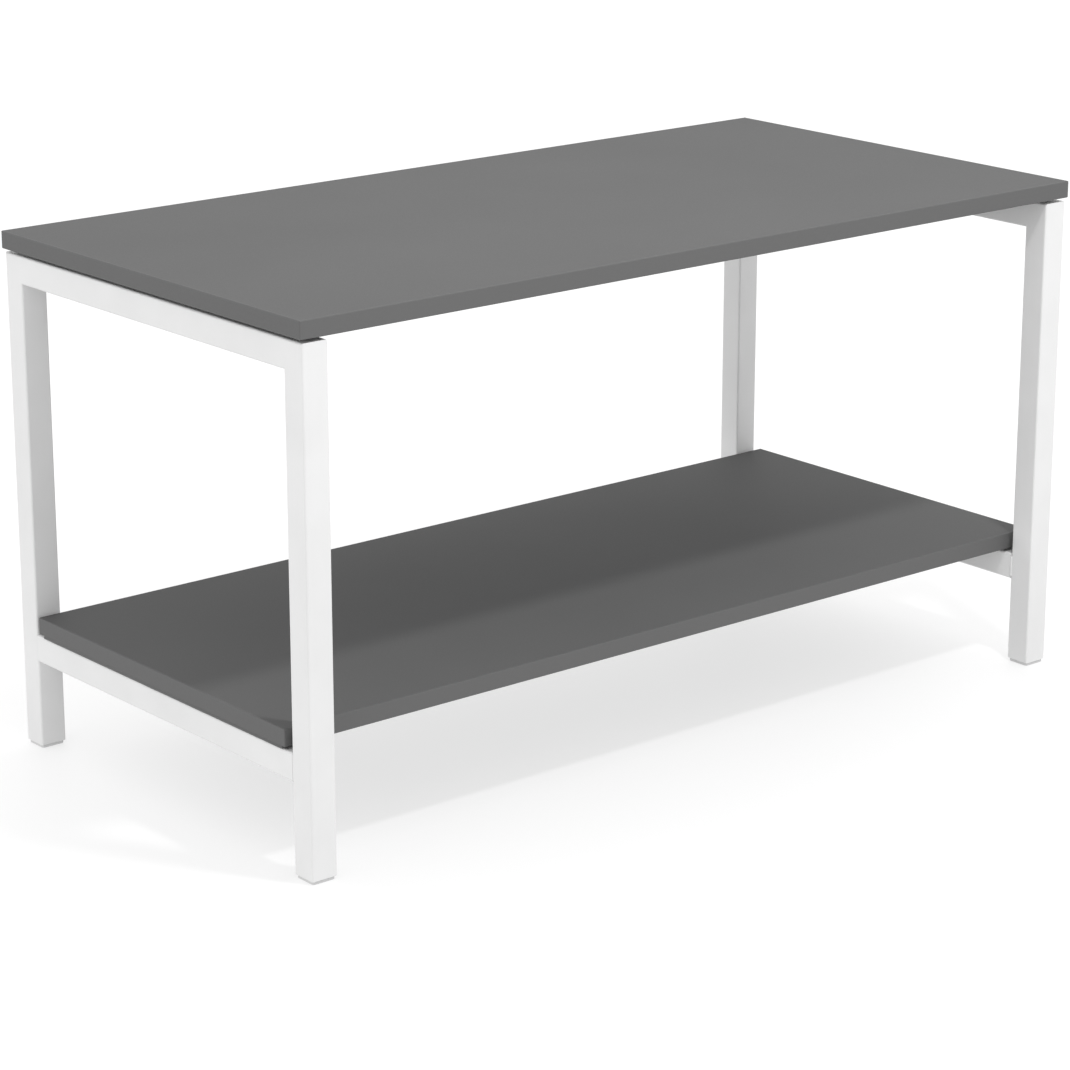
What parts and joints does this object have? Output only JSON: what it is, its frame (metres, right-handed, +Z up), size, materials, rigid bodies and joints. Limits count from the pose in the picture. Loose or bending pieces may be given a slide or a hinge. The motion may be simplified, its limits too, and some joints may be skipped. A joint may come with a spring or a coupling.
{
  "type": "work table",
  "caption": "Rectangular work table: dark grey board top over welded square-tube end frames, with a full-length lower shelf and screw-in levelling feet.",
  "frame": {"origin": "on the floor under the middle of the top, with the feet screwed right in", "axes": "+X along the length to the right end, +Y from the front to the back, +Z up"},
  "size_m": [1.4, 0.7, 0.75],
  "materials": {
    "board": "matt melamine-faced chipboard, dark grey",
    "edge_band": "satin edge band in the board's grey",
    "frame_paint": "white powder coat, satin, on steel tube",
    "plug_plastic": "moulded white plastic",
    "pad_plastic": "moulded off-white plastic",
    "spacer_plastic": "black nylon",
    "zinc_steel": "bright zinc-plated steel"
  },
  "bodies": {
    "table": {"top_panel": "board", "top_edge_front": "edge_band", "top_edge_back": "edge_band", "top_edge_left": "edge_band", "top_edge_right": "edge_band", "shelf_panel": "board", "shelf_edge_front": "edge_band", "shelf_edge_back": "edge_band", "shelf_edge_left": "edge_band", "shelf_edge_right": "edge_band", "leg_front_left": "frame_paint", "leg_front_right": "frame_paint", "leg_back_left": "frame_paint", "leg_back_right": "frame_paint", "top_rail_left": "frame_paint", "shelf_rail_left": "frame_paint", "top_rail_right": "frame_paint", "shelf_rail_right": "frame_paint", "beam_front": "frame_paint", "beam_back": "frame_paint", "beam_plate_front_left": "frame_paint", "beam_plate_front_right": "frame_paint", "beam_plate_back_left": "frame_paint", "beam_plate_back_right": "frame_paint", "foot_plug_front_left": "plug_plastic", "foot_plug_front_right": "plug_plastic", "foot_plug_back_left": "plug_plastic", "foot_plug_back_right": "plug_plastic", "foot_nuts": "zinc_steel", "beam_bolts": "zinc_steel", "rivet_nuts": "zinc_steel", "top_screws": "zinc_steel", "top_inserts": "zinc_steel", "shelf_screws": "zinc_steel", "shelf_inserts": "zinc_steel", "top_spacers": "spacer_plastic", "shelf_spacers": "spacer_plastic"},
    "pad_front_left": {"foot_pad_front_left": "pad_plastic"},
    "stud_front_left": {"foot_stud_front_left": "zinc_steel"},
    "pad_front_right": {"foot_pad_front_right": "pad_plastic"},
    "stud_front_right": {"foot_stud_front_right": "zinc_steel"},
    "pad_back_left": {"foot_pad_back_left": "pad_plastic"},
    "stud_back_left": {"foot_stud_back_left": "zinc_steel"},
    "pad_back_right": {"foot_pad_back_right": "pad_plastic"},
    "stud_back_right": {"foot_stud_back_right": "zinc_steel"}
  },
  "joints": [
    {"name": "foot_travel_front_left", "type": "slide", "parent": "table", "child": "pad_front_left", "axis": [0, 0, -1], "range_m": [0, 0.01]},
    {"name": "foot_turn_front_left", "type": "hinge", "parent": "pad_front_left", "child": "stud_front_left", "pos_m": [-0.676, -0.328, 0.02], "axis": [0, 0, -1], "range_deg": [0, 2880]},
    {"name": "foot_travel_front_right", "type": "slide", "parent": "table", "child": "pad_front_right", "axis": [0, 0, -1], "range_m": [0, 0.01]},
    {"name": "foot_turn_front_right", "type": "hinge", "parent": "pad_front_right", "child": "stud_front_right", "pos_m": [0.676, -0.328, 0.02], "axis": [0, 0, -1], "range_deg": [0, 2880]},
    {"name": "foot_travel_back_left", "type": "slide", "parent": "table", "child": "pad_back_left", "axis": [0, 0, -1], "range_m": [0, 0.01]},
    {"name": "foot_turn_back_left", "type": "hinge", "parent": "pad_back_left", "child": "stud_back_left", "pos_m": [-0.676, 0.328, 0.02], "axis": [0, 0, -1], "range_deg": [0, 2880]},
    {"name": "foot_travel_back_right", "type": "slide", "parent": "table", "child": "pad_back_right", "axis": [0, 0, -1], "range_m": [0, 0.01]},
    {"name": "foot_turn_back_right", "type": "hinge", "parent": "pad_back_right", "child": "stud_back_right", "pos_m": [0.676, 0.328, 0.02], "axis": [0, 0, -1], "range_deg": [0, 2880]}
  ],
  "couplings": [
    {"joint": "foot_turn_front_left", "follows": "foot_travel_front_left", "rad_per_m": 5026.5},
    {"joint": "foot_turn_front_right", "follows": "foot_travel_front_right", "rad_per_m": 5026.5},
    {"joint": "foot_turn_back_left", "follows": "foot_travel_back_left", "rad_per_m": 5026.5},
    {"joint": "foot_turn_back_right", "follows": "foot_travel_back_right", "rad_per_m": 5026.5}
  ]
}
